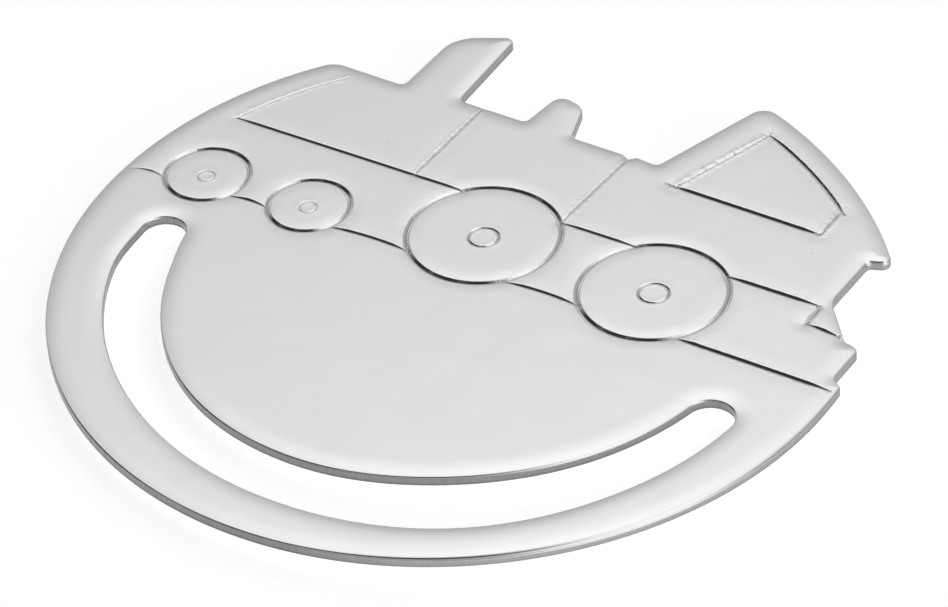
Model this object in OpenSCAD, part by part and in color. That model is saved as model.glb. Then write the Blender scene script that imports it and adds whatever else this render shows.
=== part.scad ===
// Page clip bookmark: one round blank of polished sheet metal, pierced by a curved slot.
// The part above the slot is cut and coined as a steam locomotive, the part inside the slot is
// the page tongue, and the part outside it is the clip ring, which springs so that a page
// slips between the two. Origin: centre of the disc, on the back face. X runs towards the cab,
// Y runs up the locomotive, Z comes out of the coined face.

/* [Blank] */
// Diameter of the round blank
disc_d = 60; // [57:0.5:66]
// Thickness of the sheet
sheet_t = 0.9; // [0.6:0.1:1.4]

/* [Page slot] */
// Width of the slot at its front end, under the smokebox
slot_front_end_w = 3.4; // [2.6:0.1:4]
// Width of the slot a little below its front end
slot_front_w = 4.2; // [3:0.1:5]
// Width of the slot at the lower front
slot_low_front_w = 3.85; // [3:0.1:5]
// Width of the slot at its lowest point
slot_foot_w = 4.3; // [3:0.1:5.5]
// Width of the slot at the lower rear, where it is widest
slot_low_rear_w = 5.2; // [3:0.1:6]
// Width of the slot a little below its rear end
slot_rear_w = 4.3; // [3:0.1:5.5]
// Width of the slot at its rear end, under the cab
slot_rear_end_w = 3.6; // [2.6:0.1:4.4]
// Drop of the slot's front end below the disc's centre
slot_front_drop = 5.2; // [4.6:0.1:7]
// Drop of the slot's rear end below the disc's centre
slot_rear_drop = 4.3; // [3.8:0.1:6]

/* [Clip ring] */
// Width of the ring at the slot's front end
ring_front_end_w = 4.95; // [3.5:0.05:6]
// Width of the ring a little below that
ring_front_w = 4.3; // [3:0.1:5.5]
// Width of the ring at the lower front
ring_low_front_w = 4.15; // [3:0.05:5.5]
// Width of the ring at its lowest point
ring_foot_w = 3.8; // [2.6:0.1:5]
// Width of the ring at the lower rear, where it is narrowest
ring_low_rear_w = 3.25; // [2.4:0.05:4.5]
// Width of the ring a little below the slot's rear end
ring_rear_w = 3.85; // [2.6:0.05:5]
// Width of the ring at the slot's rear end
ring_rear_end_w = 4.3; // [3:0.1:5.5]
// Clearance along the flex line, where the springing pieces meet the engine plate
flex_gap = 0.1; // [0.06:0.02:0.3]

/* [Boiler] */
// Height of the smokebox's top above the disc's centre, ahead of the chimney
smokebox_h = 18.55; // [17.5:0.05:19.5]
// Height of the boiler's top above the disc's centre, behind the chimney
boiler_h = 18.92; // [17.5:0.02:19.5]
// Rounding where the smokebox front meets the boiler's top
smokebox_round = 2.4; // [1:0.1:3]
// Distance of the smokebox line inside the rim
smokebox_inset = 2.5; // [1.5:0.1:4]
// Distance of the front boiler band ahead of the disc's centre
front_band_x = 10.1; // [8.5:0.1:11]
// Distance of the rear boiler band behind the disc's centre
rear_band_x = 2.65; // [2:0.05:3.2]
// Depth of the notch over the rear band
band_notch_h = 0.3; // [0.1:0.05:0.6]

/* [Chimney] */
// Distance of the chimney's front face ahead of the disc's centre
chimney_front_x = 17.2; // [15:0.1:19]
// Width of the chimney at its foot
chimney_foot_w = 4.9; // [3.5:0.1:5.5]
// Width of the chimney at its top
chimney_top_w = 4.4; // [3.5:0.1:5.5]
// Height of the chimney's front corner above the boiler
chimney_front_h = 7.1; // [5:0.1:8]
// Height of the chimney's rear corner above the boiler
chimney_rear_h = 9.4; // [8.2:0.1:10]
// Rounding of the chimney's front corner
chimney_front_round = 3; // [1:0.1:3.4]
// Rounding of the chimney's rear corner
chimney_rear_round = 0.65; // [0.3:0.05:1]

/* [Dome] */
// Distance of the dome's front face ahead of the disc's centre
dome_front_x = 6.4; // [5.5:0.1:7.2]
// Width of the dome at its foot
dome_foot_w = 4.15; // [3.6:0.05:4.6]
// Width of the dome at its top
dome_top_w = 2.5; // [2.1:0.1:3.2]
// Lean of the dome's front face
dome_lean = 0.45; // [0:0.05:0.8]
// Height of the dome's front corner above the boiler
dome_front_h = 4.2; // [3.8:0.1:5.5]
// Height of the dome's rear corner above the boiler
dome_rear_h = 3.65; // [3.2:0.05:5]
// Rounding of the dome's front corner
dome_front_round = 1; // [0.5:0.1:1.1]
// Rounding of the dome's rear corner
dome_rear_round = 1.4; // [0.5:0.1:1.6]

/* [Cab] */
// Distance of the cab's front foot behind the disc's centre
cab_front_x = 5.2; // [4.2:0.1:6]
// Lean of the cab's front wall over its height
cab_lean = 3.3; // [1.5:0.1:4]
// Height of the roof's front corner above the disc's centre
roof_front_h = 29.2; // [28.4:0.1:30]
// Radius of the roof
roof_r = 40.5; // [36:0.5:60]
// Height of the roof's rear corner above the disc's centre
roof_rear_h = 16.8; // [15:0.1:17.8]
// Distance of the cab's back behind the disc's centre
cab_rear_x = 24.65; // [23.4:0.05:25.4]
// Overhang of the roof past the cab's back
roof_overhang = 1.7; // [1.2:0.1:2.4]
// Rounding of the roof's front corner
roof_front_round = 1.4; // [0.6:0.1:2]
// Rounding of the roof's rear corner
roof_rear_round = 0.8; // [0.3:0.1:1]
// Height of the window's foot above the disc's centre
window_foot_h = 17.2; // [16:0.1:18.4]
// Distance of the window's top line inside the roof's edge, at its front end
window_top_inset = 2.2; // [1.6:0.1:3]
// Distance of the window's top line inside the roof's edge, at its rear end
window_rear_inset = 1.8; // [1.4:0.1:2.6]
// Distance of the window's rear line behind the disc's centre
window_rear_x = 20.1; // [18:0.1:21]
// Distance of the window's front line inside the cab's front wall
window_front_inset = 3.15; // [1.8:0.05:3.6]

/* [Footplate] */
// Height of the footplate's line above the disc's centre, at the front
footplate_front_h = 8.8; // [8:0.1:9.4]
// Height of the footplate's line above the disc's centre, at the rear
footplate_rear_h = 9.85; // [9.2:0.05:10.6]
// Height of the step behind the cab above the disc's centre
step_h = 7.15; // [6.4:0.05:7.6]
// Fall of the step's top from the gusset to its rear edge
step_fall = 0.3; // [0.1:0.05:0.6]
// Rounding of the step's rear edge
step_round = 0.8; // [0.4:0.1:0.9]
// Distance of the step's rear face inside the rim
step_inset = 1; // [0.5:0.1:1.6]
// Height of the ledge below the step above the disc's centre
ledge_h = 3.5; // [3:0.1:4.5]
// Length of the gusset between the cab's back and the step
gusset_l = 3; // [2:0.1:3.4]
// Height of the gusset above the step
gusset_h = 3.7; // [2.6:0.1:4.4]

/* [Rail] */
// Height of the rail's line above the disc's centre, at the front rim
rail_front_h = 0; // [-0.4:0.1:0.6]
// Height of the rail's line above the disc's centre, at its middle
rail_mid_h = 1.45; // [0.8:0.05:2]
// Height of the rail's line above the disc's centre, at the rear rim
rail_rear_h = 2.05; // [1.4:0.05:2.6]

/* [Wheels] */
// Diameter of the two driving wheels
driver_d = 11.2; // [9:0.1:12]
// Diameter of the hubs of the driving wheels
driver_hub_d = 2.3; // [1.6:0.1:4]
// Diameter of the two leading wheels
leader_d = 6.35; // [5:0.05:7]
// Diameter of the hubs of the leading wheels
leader_hub_d = 1.4; // [1:0.1:2.4]
// Distance of the first leading wheel ahead of the disc's centre
leader_1_x = 23.8; // [23.2:0.1:24.4]
// Height of the first leading wheel above the disc's centre
leader_1_h = 1.9; // [1.4:0.1:2.6]
// Distance of the second leading wheel ahead of the disc's centre
leader_2_x = 14.9; // [14:0.1:16]
// Height of the second leading wheel above the disc's centre
leader_2_h = 2.35; // [1.8:0.05:3]
// Distance of the first driving wheel ahead of the disc's centre
driver_1_x = 1.45; // [0.8:0.05:2.4]
// Height of the first driving wheel above the disc's centre
driver_1_h = 5.5; // [5:0.1:6]
// Distance of the second driving wheel behind the disc's centre
driver_2_x = 12.95; // [12:0.05:14]
// Height of the second driving wheel above the disc's centre
driver_2_h = 5.65; // [5:0.05:6.2]

/* [Coined lines] */
// Width of a coined line
line_w = 0.75; // [0.5:0.05:1]
// Depth of a coined line
line_depth = 0.22; // [0.1:0.02:0.4]
// Width of the line round a hub
hub_line_w = 0.35; // [0.2:0.05:0.6]
// Depth of the line round a hub
hub_line_depth = 0.1; // [0.05:0.01:0.2]
// Small rounding in the corners of the outline
corner_round = 0.5; // [0.3:0.05:0.6]

/* [Hidden] */
// Roundings are drawn in this many steps, and longer curves in this many
round_steps = 6;
curve_steps = 12;
// Smoothness of full circles
$fn = 96;
// Distance by which a cut runs past what it cuts
overrun = 1;

disc_r = disc_d / 2;

// The slot and the ring are described by widths at set angles round the disc
front_end_r = disc_r - ring_front_end_w - slot_front_end_w / 2;
rear_end_r = disc_r - ring_rear_end_w - slot_rear_end_w / 2;
front_end_angle = 180 + asin(slot_front_drop / front_end_r);
rear_end_angle = 360 - asin(slot_rear_drop / rear_end_r);
width_angles = [front_end_angle, 203, 240, 270, 302, 332, rear_end_angle];
ring_widths = [ring_front_end_w, ring_front_w, ring_low_front_w, ring_foot_w,
    ring_low_rear_w, ring_rear_w, ring_rear_end_w];
slot_widths = [slot_front_end_w, slot_front_w, slot_low_front_w, slot_foot_w,
    slot_low_rear_w, slot_rear_w, slot_rear_end_w];

// The sheet bends along a line level with the lower of the slot's two ends
flex_y = -max(slot_front_drop, slot_rear_drop);
flex_half_gap = flex_gap / 2;
engine_foot_y = flex_y + flex_half_gap;

// A point at distance r from the origin, at angle a
function polar(r, a) = [r * cos(a), r * sin(a)];

// Slope of a smooth curve through the knots (xs, ys) at knot k
function knot_slope(xs, ys, k) =
    let (low = max(k - 1, 0), high = min(k + 1, len(xs) - 1))
    (ys[high] - ys[low]) / (xs[high] - xs[low]);

// Smooth cubic curve through the knots (xs, ys), read at x
function smooth_lookup(x, xs, ys) =
    let (
        k = max([for (i = [0 : len(xs) - 2]) if (i == 0 || x >= xs[i]) i]),
        span = xs[k + 1] - xs[k],
        u = (x - xs[k]) / span,
        rise = ys[k + 1] - ys[k],
        lead = span * knot_slope(xs, ys, k) - rise,
        trail = rise - span * knot_slope(xs, ys, k + 1)
    )
    ys[k] + u * rise + u * (1 - u) * ((1 - u) * lead + u * trail);

function ring_inner_r(a) = disc_r - smooth_lookup(a, width_angles, ring_widths);
function tongue_r(a) = ring_inner_r(a) - smooth_lookup(a, width_angles, slot_widths);

// Angles from one end of the slot to the other
slot_steps = 72;
slot_angles = [for (i = [0 : slot_steps])
    front_end_angle + (rear_end_angle - front_end_angle) * i / slot_steps];

// Replaces the corner q between p and s by an arc of radius r that touches both sides
function fillet(p, q, s, r) =
    let (
        u = (p - q) / norm(p - q),
        v = (s - q) / norm(s - q),
        half = acos(max(-1, min(1, u * v))) / 2,
        reach = min(r / tan(half), norm(p - q) / 2, norm(s - q) / 2),
        r_used = reach * tan(half),
        middle = q + (u + v) / norm(u + v) * r_used / sin(half),
        start = q + u * reach - middle,
        turn = (180 - 2 * half) * (u.x * v.y - u.y * v.x > 0 ? -1 : 1),
        first = atan2(start.y, start.x)
    )
    [for (i = [0 : round_steps]) middle + polar(r_used, first + turn * i / round_steps)];

// A closed outline from corners [x, y, rounding]
function rounded(corners) =
    let (n = len(corners))
    [for (i = [0 : n - 1])
        let (
            p = corners[(i + n - 1) % n],
            q = corners[i],
            s = corners[(i + 1) % n]
        )
        each q.z == 0 ? [[q.x, q.y]] : fillet([p.x, p.y], [q.x, q.y], [s.x, s.y], q.z)];

// Corners without rounding along an arc of radius r round a middle, between two angles
function arc_corners(middle, r, from, to, steps) =
    [for (i = [0 : steps]) let (p = middle + polar(r, from + (to - from) * i / steps)) [p.x, p.y, 0]];

// The smokebox's front follows the rim up to this distance ahead of the centre
smokebox_x = -sqrt(disc_r * disc_r - smokebox_h * smokebox_h);

// The roof is an arc between its front and rear corners
roof_front = [cab_front_x + cab_lean, roof_front_h];
roof_rear = [cab_rear_x + roof_overhang, roof_rear_h];
roof_chord = roof_rear - roof_front;
roof_drop = sqrt(roof_r * roof_r - pow(norm(roof_chord) / 2, 2));
roof_middle = (roof_front + roof_rear) / 2
    + [roof_chord.y, -roof_chord.x] / norm(roof_chord) * roof_drop;
roof_start = atan2(roof_front.y - roof_middle.y, roof_front.x - roof_middle.x);
roof_end = atan2(roof_rear.y - roof_middle.y, roof_rear.x - roof_middle.x);
roof_steps = 24;
roof_arc = arc_corners(roof_middle, roof_r, roof_start, roof_end, roof_steps);

// The arc's first and last steps give way to the roundings of its corners
roof_trim = 3;

chimney_rear_foot = chimney_foot_w - chimney_front_x;
chimney_rear_top = chimney_top_w - chimney_front_x;
dome_rear_foot = dome_foot_w - dome_front_x;
dome_front_top = dome_lean - dome_front_x;
dome_rear_top = dome_front_top + dome_top_w;
step_x = disc_r - step_inset;
gusset_foot = [cab_rear_x + gusset_l, step_h + step_fall];

// Fall of the roof's underside over its overhang, and of the ledge over its width
eave_fall_share = 0.4;
ledge_fall_share = 0.7;
// How much of the step's inset the ledge below it takes up
ledge_share = 0.9;
ledge_w = step_inset * ledge_share;

// The rim's arc stops short of the smokebox's rounding by this share of its radius
rim_trim_share = 0.8;
smokebox_angle = 90 + acos(smokebox_h / disc_r) + asin(rim_trim_share * smokebox_round / disc_r);
rim_steps = 40;
foot_angle = asin(engine_foot_y / disc_r);
ledge_angle = asin((ledge_h - 2 * ledge_w) / disc_r);

// Outline of the engine plate, clockwise from the flex line at the front rim
engine_corners = concat(
    arc_corners([0, 0], disc_r, 180 - foot_angle, smokebox_angle, rim_steps),
    [
        [smokebox_x, smokebox_h, smokebox_round],
        [-chimney_front_x, smokebox_h, corner_round],
        [-chimney_front_x, smokebox_h + chimney_front_h, chimney_front_round],
        [chimney_rear_top, smokebox_h + chimney_rear_h, chimney_rear_round],
        [chimney_rear_foot, boiler_h, corner_round],
        [-dome_front_x, boiler_h, corner_round],
        [dome_front_top, boiler_h + dome_front_h, dome_front_round],
        [dome_rear_top, boiler_h + dome_rear_h, dome_rear_round],
        [dome_rear_foot, boiler_h, corner_round],
        [rear_band_x - line_w / 2, boiler_h, 0],
        [rear_band_x + line_w / 4, boiler_h - band_notch_h, band_notch_h / 2],
        [rear_band_x + line_w, boiler_h + band_notch_h / 2, band_notch_h / 2],
        [cab_front_x, boiler_h, corner_round],
        [roof_front.x, roof_front.y, roof_front_round]
    ],
    [for (i = [roof_trim : roof_steps - roof_trim]) roof_arc[i]],
    [
        [roof_rear.x, roof_rear.y, roof_rear_round],
        [cab_rear_x, roof_rear.y - roof_overhang * eave_fall_share, corner_round],
        [cab_rear_x, step_h + gusset_h, gusset_h / 2],
        [gusset_foot.x, gusset_foot.y, corner_round],
        [step_x, step_h, step_round],
        [step_x, ledge_h, corner_round],
        [step_x + ledge_w, ledge_h - ledge_w * ledge_fall_share, corner_round]
    ],
    arc_corners([0, 0], disc_r, ledge_angle, foot_angle, curve_steps)
);

module slot_outline() {
    polygon(concat(
        [for (a = slot_angles) polar(ring_inner_r(a), a)],
        [for (i = [slot_steps : -1 : 0]) polar(tongue_r(slot_angles[i]), slot_angles[i])]
    ));
    translate(polar(front_end_r, front_end_angle)) circle(d = slot_front_end_w);
    translate(polar(rear_end_r, rear_end_angle)) circle(d = slot_rear_end_w);
}

// Everything that lies within the slot's inner edge
module tongue_outline() {
    polygon([for (a = slot_angles) polar(tongue_r(a), a)]);
}

// The half plane below the flex line
module below_flex_line() {
    translate([-disc_d, flex_y - flex_half_gap - disc_d]) square([2 * disc_d, disc_d]);
}

module round_ended_line(from, to, w) {
    run = to - from;
    translate(from) rotate(atan2(run.y, run.x)) translate([0, -w / 2]) square([norm(run), w]);
    translate(from) circle(d = w);
    translate(to) circle(d = w);
}

module ring_line(d, w) {
    difference() {
        circle(d = d + w);
        circle(d = d - w);
    }
}

// Wheels as [x, y, tread diameter, hub diameter]
wheels = [
    [-leader_1_x, leader_1_h, leader_d, leader_hub_d],
    [-leader_2_x, leader_2_h, leader_d, leader_hub_d],
    [-driver_1_x, driver_1_h, driver_d, driver_hub_d],
    [driver_2_x, driver_2_h, driver_d, driver_hub_d]
];

// Height of the rail's line, an even curve through its front, middle and rear heights
function rail_y(x) =
    let (u = x / disc_r)
    rail_mid_h + u * (rail_rear_h - rail_front_h) / 2
        + u * u * ((rail_rear_h + rail_front_h) / 2 - rail_mid_h);

module rail_line() {
    reach = disc_r - line_w;
    steps = curve_steps;
    xs = [for (i = [0 : steps]) -reach + 2 * reach * i / steps];
    polygon(concat(
        [for (x = xs) [x, rail_y(x) + line_w / 2]],
        [for (i = [steps : -1 : 0]) [xs[i], rail_y(xs[i]) - line_w / 2]]
    ));
}

// The footplate's line runs from inside the smokebox line to the cab's back
line_r = disc_r - smokebox_inset;
footplate_front = polar(line_r - line_w / 4, 180 - asin(footplate_front_h / line_r));
footplate_rear = [cab_rear_x - line_w, footplate_rear_h];
footplate_run = footplate_rear - footplate_front;
function footplate_y(x) = footplate_front_h + footplate_run.y * (x - footplate_front.x) / footplate_run.x;

module smokebox_line() {
    from = atan2(footplate_front.y, footplate_front.x);
    to = 180 - asin((smokebox_h - line_w * 2) / line_r);
    angles = [for (i = [0 : curve_steps]) from + (to - from) * i / curve_steps];
    polygon(concat(
        [for (a = angles) polar(line_r + line_w / 2, a)],
        [for (i = [curve_steps : -1 : 0]) polar(line_r - line_w / 2, angles[i])]
    ));
}

module band_line(x) {
    round_ended_line([x, footplate_y(x) + line_w / 4], [x, boiler_h], line_w);
}

// The window's outline, grown by d all round, follows the cab's front wall, the roof and the back
cab_slope = cab_lean / (roof_front_h - boiler_h);
function window_front_x(y, d) = cab_front_x + window_front_inset + cab_slope * (y - boiler_h)
    - d * norm([1, cab_slope]);
function under_roof_y(x, inset) = roof_middle.y + sqrt(pow(roof_r - inset, 2) - pow(x - roof_middle.x, 2));

// Height at which the window's front line meets its top line, closed in on step by step
function window_top_h(y, d, tries) = tries == 0
    ? y
    : window_top_h(under_roof_y(window_front_x(y, d), window_top_inset - d), d, tries - 1);

module window_outline(d) {
    foot_h = window_foot_h - d;
    front_h = window_top_h(roof_front_h - window_top_inset, d, curve_steps);
    front_x = window_front_x(front_h, d);
    rear_x = window_rear_x + d;
    rear_h = under_roof_y(rear_x, window_rear_inset - d);
    from = atan2(front_h - roof_middle.y, front_x - roof_middle.x);
    to = atan2(rear_h - roof_middle.y, rear_x - roof_middle.x);
    shares = [for (i = [1 : curve_steps - 1]) i / curve_steps];
    top = [for (u = shares) roof_middle
        + polar(roof_r + d - window_top_inset * (1 - u) - window_rear_inset * u, from + (to - from) * u)];
    polygon(rounded(concat(
        [[window_front_x(foot_h, d), foot_h, corner_round], [front_x, front_h, corner_round]],
        [for (p = top) [p.x, p.y, 0]],
        [[rear_x, rear_h, corner_round], [rear_x, foot_h, corner_round]]
    )));
}

module window_line() {
    difference() {
        window_outline(line_w / 2);
        window_outline(-line_w / 2);
    }
}

// Line that parts the gusset behind the cab from the step below it
module gusset_line() {
    heel = [cab_rear_x - line_w / 2, gusset_foot.y + line_w / 2];
    round_ended_line([heel.x, footplate_rear_h - line_w / 2], heel, line_w);
    round_ended_line(heel, [gusset_foot.x - line_w / 2, heel.y - line_w / 4], line_w);
}

module wheel_discs(grow) {
    for (w = wheels) translate([w.x, w.y]) circle(d = w[2] + grow);
}

// Wide lines: boiler, cab, footplate and rail, parted by the wheels, and the wheels' treads
module wide_lines() {
    difference() {
        union() {
            rail_line();
            round_ended_line(footplate_front, footplate_rear, line_w);
            smokebox_line();
            band_line(-front_band_x);
            band_line(rear_band_x);
        }
        wheel_discs(0);
    }
    window_line();
    gusset_line();
    for (w = wheels) translate([w.x, w.y]) ring_line(w[2], line_w);
}

module hub_lines() {
    for (w = wheels) translate([w.x, w.y]) ring_line(w[3], hub_line_w);
}

// A cut of a given depth into the coined face
module coin(depth) {
    translate([0, 0, sheet_t - depth]) linear_extrude(depth + overrun) children();
}

// Locomotive and the web that joins it to the tongue and the ring
module engine_plate() {
    color("silver") difference() {
        linear_extrude(sheet_t) difference() {
            polygon(rounded(engine_corners));
            slot_outline();
        }
        coin(line_depth) wide_lines();
        coin(hub_line_depth) hub_lines();
    }
}

// Plain tongue that lies on the face of the page
module page_tongue() {
    color("gainsboro") linear_extrude(sheet_t) difference() {
        intersection() {
            tongue_outline();
            below_flex_line();
        }
        slot_outline();
    }
}

// Plain ring that springs behind the page
module clip_ring() {
    color("lightgray") linear_extrude(sheet_t) difference() {
        intersection() {
            circle(d = disc_d);
            below_flex_line();
        }
        tongue_outline();
        slot_outline();
    }
}

engine_plate();
page_tongue();
clip_ring();
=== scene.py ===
"""Page clip bookmark: one blank of silver plated sheet, coined as a steam locomotive.

Lengths are written in millimetres and become metres where a mesh is made.
X runs towards the cab, Y up the locomotive, Z out of the coined face.
"""
import math
import bpy
import numpy as np
from mathutils import Matrix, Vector
from mathutils.geometry import delaunay_2d_cdt


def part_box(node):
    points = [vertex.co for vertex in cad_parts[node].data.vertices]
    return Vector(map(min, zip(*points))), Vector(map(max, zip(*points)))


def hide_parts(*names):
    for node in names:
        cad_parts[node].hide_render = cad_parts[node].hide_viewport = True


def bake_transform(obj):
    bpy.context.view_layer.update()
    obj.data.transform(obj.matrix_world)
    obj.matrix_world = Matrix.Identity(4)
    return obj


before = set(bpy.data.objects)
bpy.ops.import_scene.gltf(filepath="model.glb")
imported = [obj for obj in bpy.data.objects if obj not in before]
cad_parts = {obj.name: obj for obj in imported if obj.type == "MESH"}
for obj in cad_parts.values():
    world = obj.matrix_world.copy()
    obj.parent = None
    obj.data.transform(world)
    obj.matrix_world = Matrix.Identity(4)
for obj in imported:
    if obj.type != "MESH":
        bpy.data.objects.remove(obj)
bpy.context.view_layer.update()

mm = 0.001


# Camera
# A long lens looks down across the locomotive's front corner and is rolled a little.
camera_azimuth = 35.8
camera_elevation = 38.27
camera_roll = -4.6
camera_distance = 343
aim_right, aim_up = -0.99, 0.83
focal_length_px = 4746
photo_w_px = 948
sensor_w = 36


def studio(right, away, up):
    """A direction given from the camera's side of the table, turned about Z into the frame."""
    cos, sin = math.cos(math.radians(camera_azimuth)), math.sin(math.radians(camera_azimuth))
    return np.array([right * cos - away * sin, right * sin + away * cos, up])


tilt, lean = math.radians(camera_elevation), math.radians(camera_roll)
looks_along = studio(0, math.cos(tilt), -math.sin(tilt))
level_right, level_up = studio(1, 0, 0), studio(0, math.sin(tilt), math.cos(tilt))
image_right = math.cos(lean) * level_right + math.sin(lean) * level_up
image_up = math.cos(lean) * level_up - math.sin(lean) * level_right
eye = -(aim_right * image_right + aim_up * image_up + camera_distance * looks_along) * mm

camera_data = bpy.data.cameras.new("camera")
camera_data.sensor_width = sensor_w
camera_data.lens = focal_length_px * sensor_w / photo_w_px
camera_data.clip_start = 0.01
camera = bpy.data.objects.new("camera", camera_data)
turn = Matrix([image_right, image_up, -looks_along]).transposed().to_4x4()
camera.matrix_world = Matrix.Translation(eye) @ turn
bpy.context.collection.objects.link(camera)
bpy.context.scene.camera = camera
bpy.context.scene.view_settings.view_transform = "Standard"


# Studio
# A soft panel hangs high behind the clip, a weaker one high at its right and a third low behind the
# camera's right shoulder, in a pale room. A row of dark cards stands at the camera's left, so that
# coined lines read dark on a bright face.
def srgb(code):
    """Linear colour of an sRGB hex code: each channel undoes the sRGB curve."""
    c = np.array([int(code[i:i + 2], 16) for i in (1, 3, 5)]) / 255
    return (*np.where(c <= 0.04045, c / 12.92, ((c + 0.055) / 1.055) ** 2.4), 1.0)


def add(nodes, kind, settings=None, **sockets):
    """A node of a kind, with its settings, and each socket set to a value or linked to an output. A
    socket is named, or given as an underscore and its place in the node's list."""
    node = nodes.new("ShaderNode" + kind)
    for name, value in (settings or {}).items():
        setattr(node, name, value)
    for name, value in sockets.items():
        key = int(name[1:]) if name[0] == "_" else name.replace("_", " ")
        if isinstance(value, bpy.types.NodeSocket):
            nodes.id_data.links.new(value, node.inputs[key])
        else:
            node.inputs[key].default_value = value
    return node


def toward(azimuth, elevation):
    """Unit direction at an azimuth, clockwise from straight away from the camera, and an elevation."""
    a, e = math.radians(azimuth), math.radians(elevation)
    return studio(math.cos(e) * math.sin(a), math.cos(e) * math.cos(a), math.sin(e))


# Each layer of the room's light as how it joins the layers before it, the directions that it is spread
# round, and its level at so many degrees from the nearest of them
layers = [
    (None, [toward(5, 54)], [(0, 1.08), (8, 1), (13, 0.9), (16.5, 0.77), (20, 0.68), (24, 0.58), (32, 0.44),
                             (50, 0.4), (90, 0.36)]),
    ("ADD", [toward(95, 62)], [(0, 0.75), (14, 0.55), (24, 0.2), (40, 0)]),
    ("ADD", [toward(140, 26)], [(0, 0.7), (18, 0.6), (30, 0.15), (38, 0)]),
    ("MULTIPLY", [toward(-156, 66), toward(-94, 58), toward(-62, 37)],
     [(0, 0.06), (11, 0.08), (19, 0.5), (27, 1)]),
]
world = bpy.data.worlds.new("studio")
world.use_nodes = True
bpy.context.scene.world = world
nodes = world.node_tree.nodes
nodes.clear()
direction = add(nodes, "TexCoord").outputs["Generated"]
lit = None
for join, middles, levels in layers:
    cosines = [
        add(nodes, "VectorMath", {"operation": "DOT_PRODUCT"}, _0=direction, _1=middle).outputs["Value"]
        for middle in middles]
    nearest = cosines[0]
    for cosine in cosines[1:]:
        nearest = add(nodes, "Math", {"operation": "MAXIMUM"}, _0=nearest, _1=cosine).outputs[0]
    angle = add(nodes, "Math", {"operation": "ARCCOSINE"}, _0=nearest)
    right_angles = add(nodes, "Math", {"operation": "DIVIDE"}, _0=angle.outputs[0], _1=math.pi / 2)
    ramp = add(nodes, "ValToRGB", Fac=right_angles.outputs[0])
    stops = ramp.color_ramp.elements
    while len(stops) < len(levels):
        stops.new(0.5)
    for stop, (degrees, level) in zip(stops, levels):
        stop.position = degrees / 90
        stop.color = (level, level, level, 1)
    layer = ramp.outputs["Color"]
    lit = layer if lit is None else add(
        nodes, "MixRGB", {"blend_type": join}, Fac=1.0, Color1=lit, Color2=layer).outputs["Color"]
background = add(nodes, "Background", Color=lit, Strength=1.0)
add(nodes, "OutputWorld", Surface=background.outputs["Background"])

# White card under the clip, as far below its back face as the ring springs down at most. Rays that
# see it find it white, with the clip's soft shadow on it.
floor_half = 3000
floor_z = -1.4
table_lift = 0.54
floor_mesh = bpy.data.meshes.new("table")
corners = np.array([[-1, -1], [1, -1], [1, 1], [-1, 1]]) * floor_half
floor_mesh.from_pydata(np.column_stack([corners, np.full(4, floor_z)]) * mm, [], [(0, 1, 2, 3)])
table_top = bpy.data.objects.new("table", floor_mesh)
bpy.context.collection.objects.link(table_top)
card_stock = bpy.data.materials.new("white_card")
card_stock.use_nodes = True
nodes = card_stock.node_tree.nodes
nodes.clear()
paper = add(nodes, "BsdfDiffuse", Color=srgb("#F5F5F5"))
rays = add(nodes, "LightPath").outputs
seen = add(nodes, "Math", {"operation": "ADD"}, _0=rays["Is Camera Ray"], _1=rays["Is Glossy Ray"])
seen = add(nodes, "Math", {"operation": "ADD"}, _0=seen.outputs[0], _1=rays["Is Transmission Ray"])
lift = add(nodes, "Math", {"operation": "MULTIPLY"}, _0=seen.outputs[0], _1=table_lift)
glow = add(nodes, "Emission", Strength=lift.outputs[0])
both = add(nodes, "AddShader", _0=paper.outputs["BSDF"], _1=glow.outputs["Emission"])
add(nodes, "OutputMaterial", Surface=both.outputs["Shader"])
floor_mesh.materials.append(card_stock)


# The blank's edges
# The rim and the slot are punched out of sheet 0.9 mm thick. Both are worked out here, because
# the two pieces of the sheet meet along the flex line and share their edges there.
disc_r = -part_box("clip_ring")[0][1] / mm
sheet_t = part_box("clip_ring")[1][2] / mm
slot_front_drop, slot_rear_drop = 5.2, 4.3
flex_y = -slot_front_drop
knot_angles_middle = [203, 240, 270, 302, 332]
ring_widths = [4.95, 4.3, 4.15, 3.8, 3.25, 3.85, 4.3]
slot_widths = [3.4, 4.2, 3.85, 4.3, 5.2, 4.3, 3.6]
edge_step = 0.35
fillet_steps = 9


def polar(r, degrees):
    """Points at distance r from the middle, at angles in degrees."""
    a = np.radians(degrees)
    return np.stack(np.broadcast_arrays(r * np.cos(a), r * np.sin(a)), -1)


def arc(middle, r, start, end, steps):
    """Points evenly spread along an arc round a middle."""
    return np.asarray(middle) + polar(r, np.linspace(start, end, steps + 1))


def bearing(v):
    """Angle of a vector from X, in degrees."""
    return math.degrees(math.atan2(v[1], v[0]))


front_end_r = disc_r - ring_widths[0] - slot_widths[0] / 2
rear_end_r = disc_r - ring_widths[-1] - slot_widths[-1] / 2
front_end_angle = 180 + math.degrees(math.asin(slot_front_drop / front_end_r))
rear_end_angle = 360 - math.degrees(math.asin(slot_rear_drop / rear_end_r))
knot_angles = [front_end_angle, *knot_angles_middle, rear_end_angle]


def smooth(x, knots, values):
    """Cubic Hermite curve through the knots, its slope at each that of the chord between the knots
    beside it."""
    knots, values = np.array(knots, float), np.array(values, float)
    n = len(knots) - 1
    low, high = np.maximum(np.arange(n + 1) - 1, 0), np.minimum(np.arange(n + 1) + 1, n)
    slopes = (values[high] - values[low]) / (knots[high] - knots[low])
    k = np.clip(np.searchsorted(knots, x, side="right") - 1, 0, n - 1)
    span, rise = knots[k + 1] - knots[k], values[k + 1] - values[k]
    u = (x - knots[k]) / span
    lead, trail = span * slopes[k] - rise, rise - span * slopes[k + 1]
    return values[k] + u * rise + u * (1 - u) * ((1 - u) * lead + u * trail)


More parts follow.
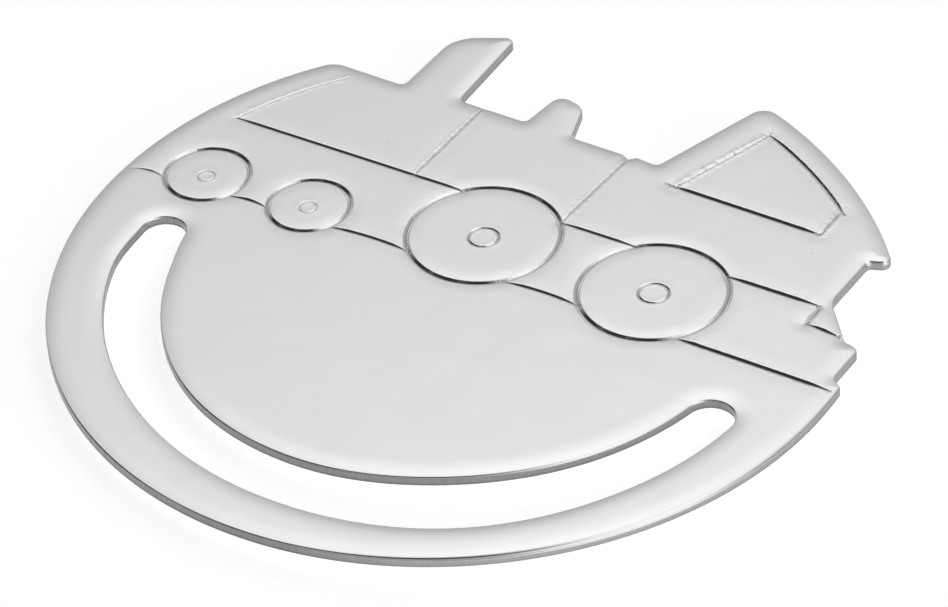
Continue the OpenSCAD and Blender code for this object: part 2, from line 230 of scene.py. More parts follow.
def ring_inner_r(degrees):
    """The disc's radius less the ring's width."""
    return disc_r - smooth(degrees, knot_angles, ring_widths)


def tongue_r(degrees):
    """The ring's inner radius less the slot's width."""
    return ring_inner_r(degrees) - smooth(degrees, knot_angles, slot_widths)


def fillet(p, q, s, r):
    """Arc of radius r in place of the corner q between p and s, touching both sides."""
    u, v = (p - q) / np.linalg.norm(p - q), (s - q) / np.linalg.norm(s - q)
    half = math.acos(np.clip(u @ v, -1, 1)) / 2
    reach = min(r / math.tan(half), np.linalg.norm(p - q) / 2, np.linalg.norm(s - q) / 2)
    r = reach * math.tan(half)
    middle = q + (u + v) / np.linalg.norm(u + v) * r / math.sin(half)
    sweep = (180 - math.degrees(2 * half)) * (-1 if u[0] * v[1] - u[1] * v[0] > 0 else 1)
    start = bearing(q + u * reach - middle)
    return arc(middle, r, start, start + sweep, fillet_steps)


def rounded(corners):
    """An open path through corners (x, y, rounding), the first and the last kept sharp."""
    points = [np.array(c[:2], float) for c in corners]
    parts = [points[0][None]]
    for i in range(1, len(corners) - 1):
        r = corners[i][2]
        parts.append(fillet(points[i - 1], points[i], points[i + 1], r) if r else points[i][None])
    return np.concatenate([*parts, points[-1][None]])


def dense(path, step):
    """The path with points added so that none of its sides is longer than step."""
    sides = np.linalg.norm(np.diff(path, axis=0), axis=1)
    counts = np.maximum(np.ceil(sides / step).astype(int), 1)
    at = np.concatenate([i + np.arange(n) / n for i, n in enumerate(counts)] + [[len(sides)]])
    k = np.arange(len(path))
    return np.column_stack([np.interp(at, k, path[:, 0]), np.interp(at, k, path[:, 1])])


# Angles at which the flex line crosses the rim and the slot's outer edge, the second one looked up in
# finely spaced angles near the slot's rear end
search_from, search_steps = 300, 2000
rim_web_angle = math.degrees(math.asin(-flex_y / disc_r))
fine = np.linspace(search_from, rear_end_angle, search_steps)
slot_web_angle = float(np.interp(flex_y, ring_inner_r(fine) * np.sin(np.radians(fine)), fine))


# Locomotive's outline, from the rear rim over the roof and the chimney to the front rim
smokebox_h, boiler_h, smokebox_round = 18.55, 18.92, 2.4
chimney_front_x, chimney_foot_w, chimney_top_w = 17.2, 4.9, 4.4
chimney_front_h, chimney_rear_h, chimney_front_round, chimney_rear_round = 7.1, 9.4, 3, 0.65
dome_front_x, dome_foot_w, dome_top_w, dome_lean = 6.4, 4.15, 2.5, 0.45
dome_front_h, dome_rear_h, dome_front_round, dome_rear_round = 4.2, 3.65, 1, 1.4
rear_band_x, front_band_x, band_notch_h = 2.65, 10.1, 0.3
cab_front_x, cab_lean, cab_rear_x = 5.2, 3.3, 24.65
roof_front_h, roof_rear_h, roof_r, roof_overhang = 29.19, 16.8, 40.5, 1.7
roof_front_round, roof_rear_round, eave_fall_share = 1.4, 0.8, 0.4
step_h, step_fall, step_round, step_inset, ledge_h = 7.15, 0.3, 0.8, 1, 3.5
gusset_l, gusset_h, corner_round, line_w = 3, 3.7, 0.5, 0.75
ledge_share, ledge_fall_share, roof_trim_share, smokebox_trim_share = 0.9, 0.7, 0.125, 0.8
roof_steps, front_rim_steps, rear_rim_steps, low_rim_steps = 30, 90, 24, 480
slot_steps, web_arc_steps, slot_end_steps = 420, 3, 24

roof_front = np.array([cab_front_x + cab_lean, roof_front_h])
roof_rear = np.array([cab_rear_x + roof_overhang, roof_rear_h])
chord = roof_rear - roof_front
chord_l = np.linalg.norm(chord)
roof_middle = (roof_front + roof_rear) / 2 + np.array([chord[1], -chord[0]]) / chord_l * math.sqrt(
    roof_r ** 2 - chord_l ** 2 / 4)
roof_start, roof_end = bearing(roof_front - roof_middle), bearing(roof_rear - roof_middle)
roof_trim = (roof_start - roof_end) * roof_trim_share
roof_arc = arc(roof_middle, roof_r, roof_end + roof_trim, roof_start - roof_trim, roof_steps)

smokebox_x = -math.sqrt(disc_r ** 2 - smokebox_h ** 2)
smokebox_trim = math.degrees(smokebox_trim_share * smokebox_round / disc_r)
step_x, ledge_w = disc_r - step_inset, step_inset * ledge_share
ledge_angle = math.degrees(math.asin((ledge_h - 2 * ledge_w) / disc_r))
front_rim = arc(
    (0, 0), disc_r, bearing((smokebox_x, smokebox_h)) + smokebox_trim, 180 + rim_web_angle, front_rim_steps)
rear_rim = arc((0, 0), disc_r, -rim_web_angle, ledge_angle, rear_rim_steps)


def plain(points):
    """The points as corners without rounding."""
    return [(x, y, 0) for x, y in points]


rim_high = rounded([
    *plain(rear_rim),
    (step_x + ledge_w, ledge_h - ledge_w * ledge_fall_share, corner_round),
    (step_x, ledge_h, corner_round),
    (step_x, step_h, step_round),
    (cab_rear_x + gusset_l, step_h + step_fall, corner_round),
    (cab_rear_x, step_h + gusset_h, gusset_h / 2),
    (cab_rear_x, roof_rear_h - roof_overhang * eave_fall_share, corner_round),
    (*roof_rear, roof_rear_round),
    *plain(roof_arc),
    (*roof_front, roof_front_round),
    (cab_front_x, boiler_h, corner_round),
    (rear_band_x + line_w, boiler_h + band_notch_h / 2, band_notch_h),
    (rear_band_x + line_w / 4, boiler_h - band_notch_h, band_notch_h),
    (rear_band_x - line_w / 2, boiler_h, 0),
    (dome_foot_w - dome_front_x, boiler_h, corner_round),
    (dome_lean - dome_front_x + dome_top_w, boiler_h + dome_rear_h, dome_rear_round),
    (dome_lean - dome_front_x, boiler_h + dome_front_h, dome_front_round),
    (-dome_front_x, boiler_h, corner_round),
    (chimney_foot_w - chimney_front_x, boiler_h, corner_round),
    (chimney_top_w - chimney_front_x, smokebox_h + chimney_rear_h, chimney_rear_round),
    (-chimney_front_x, smokebox_h + chimney_front_h, chimney_front_round),
    (-chimney_front_x, smokebox_h, corner_round),
    (smokebox_x, smokebox_h, smokebox_round),
    *plain(front_rim),
])
rim_low = arc((0, 0), disc_r, 180 + rim_web_angle, 360 - rim_web_angle, low_rim_steps)

# The slot's edge, run so that the metal is on the left: round the locomotive's and the tongue's
# side first, then back along the ring's side
front_end, rear_end = polar(front_end_r, front_end_angle), polar(rear_end_r, rear_end_angle)
slot_angles = np.linspace(front_end_angle, rear_end_angle, slot_steps)
web_angles = np.linspace(rear_end_angle, slot_web_angle, web_arc_steps + 1)
low_angles = np.linspace(slot_web_angle, front_end_angle, slot_steps)
slot_high = np.concatenate([
    arc(front_end, slot_widths[0] / 2, 180, front_end_angle - 180, slot_end_steps),
    polar(tongue_r(slot_angles), slot_angles)[1:],
    arc(rear_end, slot_widths[-1] / 2, rear_end_angle - 180, rear_end_angle - 360, slot_end_steps)[1:],
    polar(ring_inner_r(web_angles), web_angles)[1:],
])
slot_low = np.concatenate([
    polar(ring_inner_r(low_angles), low_angles),
    arc(front_end, slot_widths[0] / 2, front_end_angle, 180, web_arc_steps)[1:],
])


def left_of(loop):
    """Unit normals of a closed loop, to the left of its run: each halves the turn between two sides."""
    side = np.roll(loop, -1, 0) - loop
    side /= np.linalg.norm(side, axis=1)[:, None]
    run = side + np.roll(side, 1, 0)
    run /= np.linalg.norm(run, axis=1)[:, None]
    return np.column_stack([-run[:, 1], run[:, 0]])


def joined(high, low):
    """Two open paths that meet at both ends, as one closed loop, and the sample numbers of each."""
    high, low = dense(high, edge_step), dense(low, edge_step)
    n = len(high) + len(low) - 2
    loop = np.concatenate([high[:-1], low[:-1]])
    return loop, np.arange(len(high)) % n, np.arange(len(high) - 1, n + 1) % n


pairs_at_once = 2000000


def from_path(p, path, closed=False):
    """Distance from points p to a path and the unit direction away from its nearest point. Right of a
    closed path, where there is no metal, the distance is negative."""
    a = path if closed else path[:-1]
    b = np.roll(path, -1, 0) if closed else path[1:]
    run = b - a
    length2 = np.maximum((run ** 2).sum(1), 1e-12)
    gap, away = np.empty(len(p)), np.empty_like(p)
    for chunk in np.array_split(np.arange(len(p)), max(1, len(p) * len(a) // pairs_at_once)):
        q = p[chunk]
        dx, dy = q[:, :1] - a[:, 0], q[:, 1:] - a[:, 1]
        u = np.clip((dx * run[:, 0] + dy * run[:, 1]) / length2, 0, 1)
        dx, dy = dx - u * run[:, 0], dy - u * run[:, 1]
        k = np.argmin(dx * dx + dy * dy, axis=1)
        row = np.arange(len(q))
        v = np.column_stack([dx[row, k], dy[row, k]])
        far = np.linalg.norm(v, axis=1)
        left = run[k, 0] * v[:, 1] > run[k, 1] * v[:, 0]
        gap[chunk] = far * np.where(left | (not closed), 1, -1)
        away[chunk] = v / np.maximum(far, 1e-9)[:, None]
    return gap, away


def from_circle(p, middle, r):
    """Distance from points p to a circle and the unit direction away from its nearest point."""
    v = p - middle
    d = np.maximum(np.linalg.norm(v, axis=1), 1e-9)
    return np.abs(d - r), v / d[:, None] * np.sign(d - r)[:, None]


rim, rim_above, rim_below = joined(rim_high, rim_low)
slot, slot_above, slot_below = joined(slot_high, slot_low)
edges = [(rim, left_of(rim)), (slot, left_of(slot))]


# Coined lines
# The die cuts every line as a narrow V and draws the sheet down softly on both sides of it. Some
# lines are cut deeper than others, and every hub sits a little off its wheel's middle.
driver_r, driver_hub_r, leader_r, leader_hub_r = 5.6, 1.12, 3.15, 0.65
rail_front_h, rail_mid_h, rail_rear_h = 0, 1.55, 2.1
footplate_front_h, footplate_rear_h, smokebox_inset = 8.92, 9.97, 2.5
window_foot_h, window_rear_x = 17.2, 20.1
window_top_inset, window_rear_inset, window_front_inset = 2.2, 1.8, 3.15
wall_slope, lip_fade, foot_fade = 0.7, 0.028, 0.02
broad, deep, middling, light, faint = 0.34, 0.21, 0.17, 0.13, 0.06
rail_bow, rear_band_lean, overshoot, taper_l, taper_share = 0.2, 0.3, 0.45, 2.5, 0.4
draw_depth, draw_w = 0.04, 1.6
line_step, window_steps, rail_steps, smokebox_steps, least_spokes = 0.3, 200, 120, 40, 24

# Wheels as middle, radius, half width of the cut and draw of the tread, then the same of the hub. All
# their lines are equally ragged.
wheel_ragged = 0.2
wheels = [
    ((-23.87, 2.0), leader_r + 0.05, deep, 1.3, (-23.8, 1.78), leader_hub_r, faint, 0.15),
    ((-14.93, 2.45), leader_r - 0.05, deep, 1.3, (-14.85, 2.23), leader_hub_r, faint, 0.15),
    ((-1.55, 5.6), driver_r + 0.1, deep, 1.5, (-1.37, 5.32), driver_hub_r, light, 0.2),
    ((12.85, 5.75), driver_r - 0.1, deep, 1.5, (12.98, 5.6), driver_hub_r, light, 0.2)]


def rail_y(x):
    """Parabola through the rail's heights at the front rim, the middle and the rear rim."""
    u = x / disc_r
    climb, bow = (rail_rear_h - rail_front_h) / 2, (rail_rear_h + rail_front_h) / 2 - rail_mid_h
    return rail_mid_h + climb * u + bow * u * u


def clear_of_wheels(path):
    """The stretches of a path that lie outside the wheels' treads."""
    path = dense(path, line_step / 3)
    out = np.all([np.linalg.norm(path - wheel[0], axis=1) > wheel[1] for wheel in wheels], axis=0)
    cuts = np.flatnonzero(np.diff(out.astype(int))) + 1
    return [part for part, keep in zip(np.split(path, cuts), out[np.r_[0, cuts]]) if keep]


line_r = disc_r - smokebox_inset
smokebox_foot = 180 - math.degrees(math.asin(footplate_front_h / line_r))
smokebox_top = 180 - math.degrees(math.asin((smokebox_h - 2 * line_w) / line_r))
footplate_front = polar(line_r, smokebox_foot)
footplate_rear = np.array([cab_rear_x - line_w, footplate_rear_h])
slope = (footplate_rear[1] - footplate_front[1]) / (footplate_rear[0] - footplate_front[0])


def footplate_y(x):
    """Height of the footplate's straight line at x."""
    return footplate_front_h + slope * (x - footplate_front[0])


cab_slope = cab_lean / (roof_front_h - boiler_h)
window_front = np.array([
    (cab_front_x + window_front_inset + cab_slope * (y - boiler_h), y)
    for y in (window_foot_h, roof_front_h)])
window_angles = np.linspace(roof_start, roof_end, window_steps)
window_insets = np.linspace(window_top_inset, window_rear_inset, window_steps)
window_top = roof_middle + polar(roof_r - window_insets, window_angles)
past_front = window_top[:, 0] > window_front[0, 0] + cab_slope * (window_top[:, 1] - window_foot_h)
window_top = window_top[past_front & (window_top[:, 0] < window_rear_x)]
gusset_foot = (cab_rear_x + gusset_l, step_h + step_fall)
heel = (cab_rear_x - line_w / 2, gusset_foot[1] + line_w / 2)

rail_x = np.linspace(line_w - disc_r, disc_r - line_w, rail_steps)
rails = clear_of_wheels(np.column_stack([rail_x, rail_y(rail_x)]))
for part in rails[:-1]:
    part[:, 1] += rail_bow * np.sin(np.linspace(0, math.pi, len(part)))
footplates = clear_of_wheels(np.array([footplate_front, footplate_rear]))
rear_band, front_band = [clear_of_wheels(np.array([(x, footplate_y(x)), (x + lean, boiler_h)]))[-1]
                         for x, lean in ((rear_band_x, rear_band_lean), (-front_band_x, 0))]

# Each straight line as a path, the half width of its cut, its draw and how ragged its lips are. The
# lines at the window's foot and top run on a little past its corners.
window_foot = np.array([window_front[0] - (overshoot, 0), (window_rear_x, window_foot_h)])
top_run = window_top[-1] - window_top[-2]
window_top_end = window_top[-1] + top_run / np.linalg.norm(top_run) * overshoot
straight = [
    *zip(rails, (light, middling, middling, middling, deep), (0.7, 0.7, 0.8, 0.8, 1),
         (0.15, 0.15, 0.2, 0.2, 0.3)),
    *zip(footplates, (middling, middling, deep), (0.8, 0.8, 1), (0.15, 0.2, 0.25)),
    (arc((0, 0), line_r, smokebox_foot, smokebox_top, smokebox_steps), faint, 0.3, 0.3),
    (rear_band, light, 0.8, 0.3),
    (front_band, light, 0.8, 0.35),
    (np.array([window_top[0], window_front[0]]), middling, 0.9, 0.65),
    (window_foot, deep, 0.9, 0.2),
    (np.array([window_foot[1], window_top[-1]]), middling, 0.8, 0.5),
    (np.concatenate([window_top, window_top_end[None]]), middling, 0.9, 0.25),
    (np.array([(heel[0], footplate_rear_h - line_w / 2), heel]), broad, 1.3, 0.25),
    (np.array([heel, (gusset_foot[0] - line_w / 2, heel[1] - line_w / 4)]), deep, 1, 0.25),
]

# Each line as its samples, its normals, how far points lie from it, its half width, draw and raggedness
lines = []
for path, cut, draw, ragged in straight:
    path = dense(path, line_step)
    run = np.gradient(path, axis=0)
    run /= np.linalg.norm(run, axis=1)[:, None]
    near = lambda p, path=path: (
        *from_path(p, path), from_path(p, path[[0, 0]])[0], from_path(p, path[[-1, -1]])[0])
    lines.append((path, np.column_stack([-run[:, 1], run[:, 0]]), near, cut, draw, ragged))
for tread_middle, tread_r, tread_cut, tread_draw, hub_middle, hub_r, hub_cut, hub_draw in wheels:
    for c, r, cut, draw in (
            (tread_middle, tread_r, tread_cut, tread_draw), (hub_middle, hub_r, hub_cut, hub_draw)):
        c, ragged = np.array(c), wheel_ragged
        spokes = polar(1, np.arange(0, 360, 360 / max(least_spokes, round(2 * math.pi * r / line_step))))
        near = lambda p, c=c, r=r: (*from_circle(p, c, r), math.inf, math.inf)
        lines.append((c + r * spokes, spokes, near, cut, draw, ragged))


def groove(d, cut, draw):
    """Depth and slope of the cut and of the draw at distance d from a line. The cut is a V of straight
    walls, its bottom rounded by taking the root of d squared plus a small square, its lips faded by
    the log of one plus an exponential. The draw is a cube of the distance left to its end."""
    r = np.sqrt(d * d + foot_fade ** 2)
    left = (cut - r) / lip_fade
    sunk = wall_slope * lip_fade * np.logaddexp(0, left)
    fall = -wall_slope / (1 + np.exp(-np.clip(left, -60, 60))) * d / r
    v = np.clip(1 - d / draw_w, 0, 1)
    return sunk, fall, draw * draw_depth * v ** 3, -3 * draw * draw_depth / draw_w * v ** 2


crown_depth, crown_w = 0.12, 1.9
root_w, worked_w = 0.08, 0.4


def crown(e):
    """Fall and slope of the polished edge at distance e from it: a cube of the distance left to its end."""
    v = np.clip(1 - e / crown_w, 0, 1)
    return crown_depth * v ** 3, -3 * crown_depth / crown_w * v ** 2


def surface(p):
    """Height, slope and marks of the coined face. Cuts join by a fourth power mean, so that none shows a
    crease where it meets another, and narrow towards a line's ends. Draws and both edges' crowns are
    added. The marks are the share of a cut's root and how ragged the metal is beside a line, a bell
    curve of the distance."""
    z, slope = np.full(len(p), sheet_t), np.zeros_like(p)
    marks = np.zeros_like(p)
    for loop in (rim, slot):
        e, away = from_path(p, loop, closed=True)
        fall, rate = crown(e)
        z -= fall
        slope -= rate[:, None] * away
    power, rise = np.full(len(p), 1e-12), np.zeros_like(p)
    for _, _, near, cut, draw, ragged in lines:
        d, away, *to_ends = near(p)
        root_shade_weight = (1 - ragged) * np.clip((cut - faint) / (middling - faint), 0, 1)
        cut = cut * np.clip(taper_share + np.minimum(*to_ends) / taper_l, 0, 1)
        sunk, rate, drawn, draw_rate = groove(d, cut, draw)
        z -= drawn
        slope -= draw_rate[:, None] * away
        power += sunk ** 4
        rise += (sunk ** 3 * rate)[:, None] * away
        # Painted shade in a cut's root, more in deeper and less ragged cuts.
        root = root_shade_weight * np.clip(1 - d / root_w, 0, 1)
        marks = np.maximum(marks, np.column_stack([root, ragged * np.exp(-(d / worked_w) ** 2)]))
    z -= power ** 0.25
    slope -= rise / (power ** 0.75)[:, None]
    return z, slope, marks


# Samples of the face: rows beside each edge and each line, closest where the face bends most, and a
# coarse grid between them. A row's point stays only where no other line or edge is nearer than its own
# distance times the row clearance.
edge_round, rim_mop_round, slot_mop_round, foot_round = 0.12, 0.19, 0.04, 0.14
# The mop rounds the edge more on its side, and there the wall keeps less of its painted shade: painted light
# on that side.
mop_side, mop_reach, mop_side_painted_light = 325, 45, 1.3
wall_start, mopped_wall_start = 0.7, 0.98
row_clearance, edge_clearance, web_clearance = 0.97, 0.03, 0.08
grid_step, grid_clearance = 1.1, 1.2
edge_rows = [0.36, 0.44, 0.55, 0.68, 0.85, 1.05, 1.3, 1.6, 1.95, 2.4]
line_rows = [0, 0.02, 0.045, 0.08, 0.12, 0.155, 0.18, 0.205, 0.23, 0.26, 0.3, 0.36, 0.46, 0.6, 0.8, 1.05, 1.4]
points, own = [], []
for k, (loop, normals) in enumerate(edges):
    for e in edge_rows:
        points.append(loop + e * normals)
        own.append(np.full(len(loop), e))
for path, normals, _, cut, _, _ in lines:
    for d in np.array(line_rows) + (cut - deep) * np.clip(np.array(line_rows) / deep, 0, 1):
        for side in ((1, -1) if d else (1,)):
            points.append(path + side * d * normals)
            own.append(np.full(len(path), d))
axis = np.arange(-disc_r, disc_r, grid_step)
grid = np.stack(np.meshgrid(axis, axis), -1).reshape(-1, 2)
points, own = np.concatenate([*points, grid]), np.concatenate([*own, np.full(len(grid), grid_clearance)])

rim_gap, slot_gap = from_path(points, rim, closed=True)[0], from_path(points, slot, closed=True)[0]
edge_gap = np.where(np.abs(rim_gap) < np.abs(slot_gap), rim_gap, slot_gap)
line_gap = np.min([line[2](points)[0] for line in lines], axis=0)
core = 2 * deep
beside_edge = np.arange(len(points)) < sum(len(loop) for loop, _ in edges) * len(edge_rows)
stays = edge_gap > edge_round + rim_mop_round + edge_clearance
stays &= (line_gap > row_clearance * own) | (beside_edge & (line_gap > core)) | (~beside_edge & (own < core))
stays &= (edge_gap > row_clearance * own) | (~beside_edge & (own < core))
web_y = np.abs(points[:, 1] - flex_y)
angle = np.degrees(np.arctan2(points[:, 1], points[:, 0])) % 360
at = np.clip(angle, front_end_angle, rear_end_angle)
past_slot = np.linalg.norm(points, axis=1) > (ring_inner_r(at) + tongue_r(at)) / 2
stays &= (web_y > web_clearance) | ~past_slot
points, past_slot = points[stays], past_slot[stays]
of_ring = past_slot & (points[:, 1] < flex_y)

web_steps, round_turns, wall_steps, foot_turns, merge_gap = 24, 12, 4, 4, 1e-6
mark_names = ("punched", "root", "worked")


def edge_wall(loop, normals, samples, mop_round):
    """The punched edge along the samples of a loop. Its profile leaves the coined face at the face's own
    tilt, turns down through an arc, falls straight and turns under through a smaller arc. The mop
    has rounded the side that looks its way a little more, and the wall there keeps less of its painted shade,
    painted light on that side."""
    p, n = loop[samples], normals[samples]
    off_side = np.degrees(np.arccos(np.clip(-n @ polar(1, mop_side), -1, 1)))
    mopped = np.clip(1 - (off_side / mop_reach) ** 2, 0, 1)[:, None]
    rounding = edge_round + mop_round * mopped
    top, slope, marks = surface(p + rounding * n)
    start = np.arctan((slope * n).sum(1))[:, None]
    turn = start + (math.pi / 2 - start) * np.linspace(0, 1, round_turns)
    r = rounding / (1 - np.sin(start))
    e = rounding - r * (np.sin(turn) - np.sin(start))
    z = top[:, None] - r * (np.cos(start) - np.cos(turn))
    fall = np.linspace(0, 1, wall_steps + 2)[1:-1]
    wall_z = z[:, -1:] + (foot_round - z[:, -1:]) * fall
    under = np.linspace(0, math.pi / 2, foot_turns)
    one = np.ones_like(start)
    e = np.concatenate([e, 0 * wall_z, one * foot_round * (1 - np.cos(under))], 1)
    z = np.concatenate([z, wall_z, one * foot_round * (1 - np.sin(under))], 1)
    out = np.concatenate([np.sin(turn), 1 + 0 * wall_z, one * np.cos(under)], 1)
    up = np.concatenate([np.cos(turn), 0 * wall_z, -one * np.sin(under)], 1)
    place = np.concatenate([p[:, None] + e[..., None] * n[:, None], z[..., None]], 2)
    facing = np.concatenate([-out[..., None] * n[:, None], up[..., None]], 2)
    # Where the wall's colour starts, and how much of its painted shade stays: less on the mop's side, painted
    # light there.
    wall_from = wall_start + (mopped_wall_start - wall_start) * mopped
    wall_shade_left = 1 - mop_side_painted_light * mop_round * mopped
    punched = np.clip((out - wall_from) / (1 - wall_from), 0, 1) * wall_shade_left * np.ones_like(z)
    return place, facing, np.stack([punched, *(marks[:, k, None] * (1 - punched) for k in (0, 1))], -1)


def sheet_mesh(name, runs, inner):
    """A closed piece of the sheet. Its edge is two runs of wall, joined by two straight webs; the face
    and the back are triangulated between them, and the face's heights come from surface()."""
    places, facings, marks, faces, tops, feet, columns = [], [], [], [], [], [], []
    count = 0
    for run in runs:
        place, facing, mark = edge_wall(*run)
        n, m, _ = mark.shape
        ids = count + np.arange(n * m).reshape(n, m)
        count += n * m
        quads = np.stack([ids[:-1, :-1], ids[:-1, 1:], ids[1:, 1:], ids[1:, :-1]], -1).reshape(-1, 4)
        faces += quads.tolist()
        places.append(place.reshape(-1, 3))
        facings.append(facing.reshape(-1, 3))
        marks.append(mark.reshape(-1, 3))
        tops.append(ids[:, 0])
        feet.append(ids[:, -1])
        columns.append((ids[0], ids[-1]))
    flat = np.concatenate(places)[:, :2]
    border = []
    for k in (0, 1):
        a, b = flat[tops[k][-1]], flat[tops[1 - k][0]]
        web = a + (b - a) * np.linspace(0, 1, web_steps + 1)[1:-1, None]
        web_ids = count + np.arange(len(web))
        count += len(web)
        z, slope, mark = surface(web)
        places.append(np.column_stack([web, z]))
        facings.append(np.column_stack([-slope, np.ones(len(web))]))
        marks.append(np.column_stack([np.zeros(len(web)), mark]))
        border += [tops[k], web_ids]
        faces.append([*columns[k][1], *columns[1 - k][0][::-1], *web_ids[::-1]])
    border, back = np.concatenate(border), np.concatenate(feet)
    flat = np.concatenate(places)[:, :2]
    for ids, extra, upward in ((border, inner, True), (back, np.empty((0, 2)), False)):
        n = len(ids)
        ring = [(i, (i + 1) % n) for i in range(n)]
        found, _, triangles, origin, _, _ = delaunay_2d_cdt(
            np.concatenate([flat[ids], extra]).tolist(), ring, [], 1, merge_gap)
        first = np.array([min(o) if o else n for o in origin])
        new = np.flatnonzero(first >= n)
        to_id = np.empty(len(found), int)
        to_id[first < n] = ids[first[first < n]]
        to_id[new] = count + np.arange(len(new))
        count += len(new)
        p = np.array(found)[new].reshape(-1, 2)
        z, slope, mark = surface(p)
        places.append(np.column_stack([p, z if upward else 0 * z]))
        facings.append(
            np.column_stack([-slope, np.ones(len(p))]) if upward else np.tile([0, 0, -1.0], (len(p), 1)))
        marks.append(np.column_stack([np.zeros(len(p)), mark * upward]))
        corner_ids = to_id[np.array(triangles)]
        faces += (corner_ids if upward else corner_ids[:, ::-1]).tolist()
    facing = np.concatenate(facings)
    facing /= np.linalg.norm(facing, axis=1)[:, None]
    mesh = bpy.data.meshes.new(name)
    mesh.from_pydata(np.concatenate(places) * mm, [], faces)
    mesh.shade_smooth()
    mesh.normals_split_custom_set_from_vertices(facing)
    for mark_name, share in zip(mark_names, np.concatenate(marks).T):
        shares = mesh.attributes.new(mark_name, "FLOAT", "POINT").data
        shares.foreach_set("value", np.ascontiguousarray(share))
    piece = bpy.data.objects.new(name, mesh)
    bpy.context.collection.objects.link(piece)
    return piece


# Silver plate, polished on a mop
# Silver plate on copper alloy sheet. The face is bright and even, with a faint ripple and haze, hairlines
# and very few pits; some lines' lips are rough and the cuts' roots are darkened with painted shade. The
# punched edge is duller and streaked upright; its colour is partly its own duller tone and partly painted
# shade, darkest at its foot, with painted light on the mop's side.
# The wall's colour: its own duller tone, with painted shade that grows towards its foot.
shade_foot_h, shade_top_h = 0.06, 0.36
foot_shade_colour, wall_top_colour, streak_colour = srgb("#626260"), srgb("#989896"), srgb("#5A5A58")
bright_colour, hazy_colour, root_shade_colour = srgb("#F6F6F7"), srgb("#F1F1F1"), srgb("#4C4B49")
streak_share, pit_share, root_shade_share = 0.5, 0.2, 0.8
haze_low, haze_high, bright_rough, hazy_rough, punched_rough = 0.3, 0.7, 0.1, 0.15, 0.2
ripple_h, hairline_h, ragged_h, streak_h = 0.01, 0.0003, 0.12, 0.02
pit_gap, pit_r, pit_h = 24, 0.13, 0.006

# Each pattern's width along X, Y and Z in millimetres, and a turn about Z that picks another part of the
# noise. Real hairlines and streaks are a few hundredths of a millimetre wide, too fine to show, so they
# are drawn coarser.
patterns = {
    "ripple": ((3, 3, 3), 0),
    "haze": ((5, 5, 5), 0),
    "hairlines": ((4, 0.15, 4), 35),
    "ragged": ((0.45, 0.45, 0.45), 0),
    "streaks": ((0.14, 0.14, 1.6), 0),
}
plate = bpy.data.materials.new("polished_silver_plate")
plate.use_nodes = True
nodes = plate.node_tree.nodes
nodes.clear()
place = add(nodes, "TexCoord").outputs["Object"]
punched, root, worked = (
    add(nodes, "Attribute", {"attribute_name": name}).outputs["Fac"]
    for name in mark_names)
height = add(nodes, "SeparateXYZ", Vector=place).outputs["Z"]
drawn = {}
for name, (widths, turned) in patterns.items():
    at = add(nodes, "Mapping", {"vector_type": "POINT"}, Vector=place, Rotation=(0, 0, math.radians(turned)),
             Scale=[1 / (width * mm) for width in widths])
    drawn[name] = add(nodes, "TexNoise", Vector=at.outputs["Vector"], Scale=1.0, Detail=2.0).outputs["Fac"]
to_pit = add(nodes, "TexVoronoi", {"voronoi_dimensions": "2D"}, Vector=place, Scale=1 / (pit_gap * mm))
pit = add(nodes, "MapRange", Value=to_pit.outputs["Distance"], From_Max=pit_r / pit_gap, To_Min=1.0,
          To_Max=0.0)
drawn["pits"] = pit.outputs["Result"]

# Painted shade on the punched wall, darker towards its foot.
wall_shade_ramp = add(nodes, "MapRange", Value=height, From_Min=shade_foot_h * mm, From_Max=shade_top_h * mm)
wall = add(nodes, "MixRGB", Fac=wall_shade_ramp.outputs["Result"], Color1=foot_shade_colour, Color2=wall_top_colour)
streaked = add(nodes, "Math", {"operation": "MULTIPLY"}, _0=drawn["streaks"], _1=streak_share)
wall = add(nodes, "MixRGB", Fac=streaked.outputs[0], Color1=wall.outputs["Color"], Color2=streak_colour)
face = add(nodes, "MixRGB", Fac=drawn["haze"], Color1=bright_colour, Color2=hazy_colour)
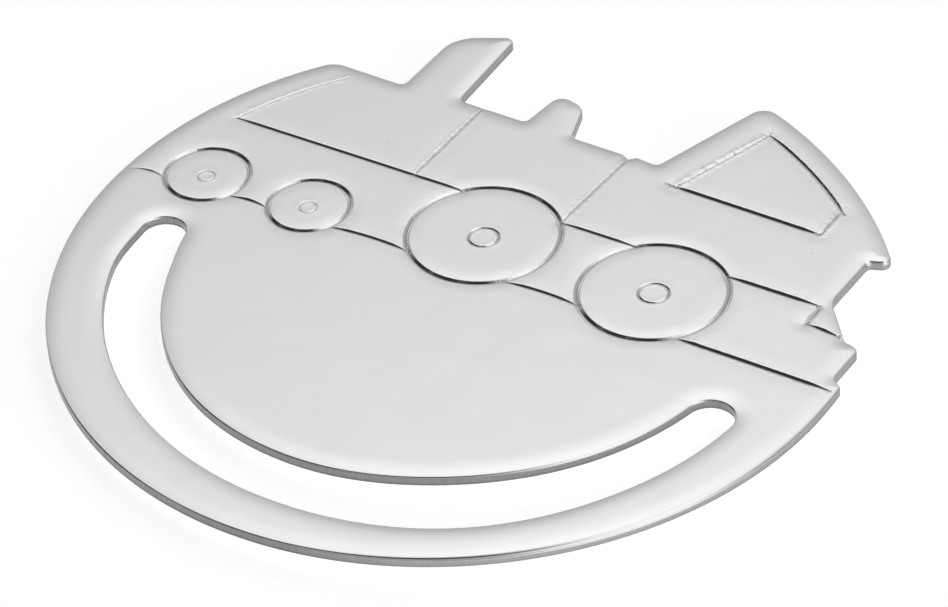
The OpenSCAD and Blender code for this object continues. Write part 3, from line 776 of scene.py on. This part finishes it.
# Painted shade in the cuts' roots, with the dark pits added on top.
dark = add(nodes, "Math", {"operation": "MULTIPLY"}, _0=root, _1=root_shade_share)
dark = add(nodes, "Math", {"operation": "MULTIPLY_ADD"}, _0=drawn["pits"], _1=pit_share, _2=dark.outputs[0])
face = add(nodes, "MixRGB", Fac=dark.outputs[0], Color1=face.outputs["Color"], Color2=root_shade_colour)
colour = add(nodes, "MixRGB", Fac=punched, Color1=face.outputs["Color"], Color2=wall.outputs["Color"])
rough = add(nodes, "MapRange", Value=drawn["haze"], From_Min=haze_low, From_Max=haze_high,
            To_Min=bright_rough, To_Max=hazy_rough)
rough = add(nodes, "Math", {"operation": "MULTIPLY_ADD"}, _0=punched, _1=punched_rough,
            _2=rough.outputs["Result"])

# The relief adds up each pattern times where it shows times its height in millimetres
relief = 0.0
for name, share, lump_h in (
        ("ripple", 1.0, ripple_h), ("hairlines", 1.0, hairline_h), ("ragged", worked, ragged_h),
        ("streaks", punched, streak_h), ("pits", 1.0, -pit_h)):
    shown = add(nodes, "Math", {"operation": "MULTIPLY"}, _0=drawn[name], _1=share).outputs[0]
    relief = add(nodes, "Math", {"operation": "MULTIPLY_ADD"}, _0=shown, _1=lump_h, _2=relief).outputs[0]
bump = add(nodes, "Bump", Strength=1.0, Distance=mm, Height=relief)
metal = add(nodes, "BsdfPrincipled", Base_Color=colour.outputs["Color"], Metallic=1.0,
            Roughness=rough.outputs[0], Normal=bump.outputs["Normal"])
add(nodes, "OutputMaterial", Surface=metal.outputs["BSDF"])


# Locomotive and tongue
# One stretch of the silver plated sheet: the coined locomotive, and below the flex line the plain tongue
# that the slot sets free. The real tongue bends a little when a page is pushed under it; here it is built
# unbent.
rim_edge, slot_edge = edges
head = sheet_mesh("locomotive_and_tongue", [
    (*rim_edge, rim_above, rim_mop_round), (*slot_edge, slot_above, slot_mop_round)], points[~of_ring])
head.data.materials.append(plate)
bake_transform(head)
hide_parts("engine_plate", "page_tongue")

# Clip ring
# The outer band of the same sheet, punched free of the tongue by the slot and one with the locomotive at
# a web on each side. On the real clip its two arms bend below the flex line, so the ring springs away from
# the tongue; here it is built unbent.
ring = sheet_mesh("spring_ring", [
    (*rim_edge, rim_below, rim_mop_round), (*slot_edge, slot_below, slot_mop_round)], points[of_ring])
ring.data.materials.append(plate)
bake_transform(ring)
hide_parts("clip_ring")
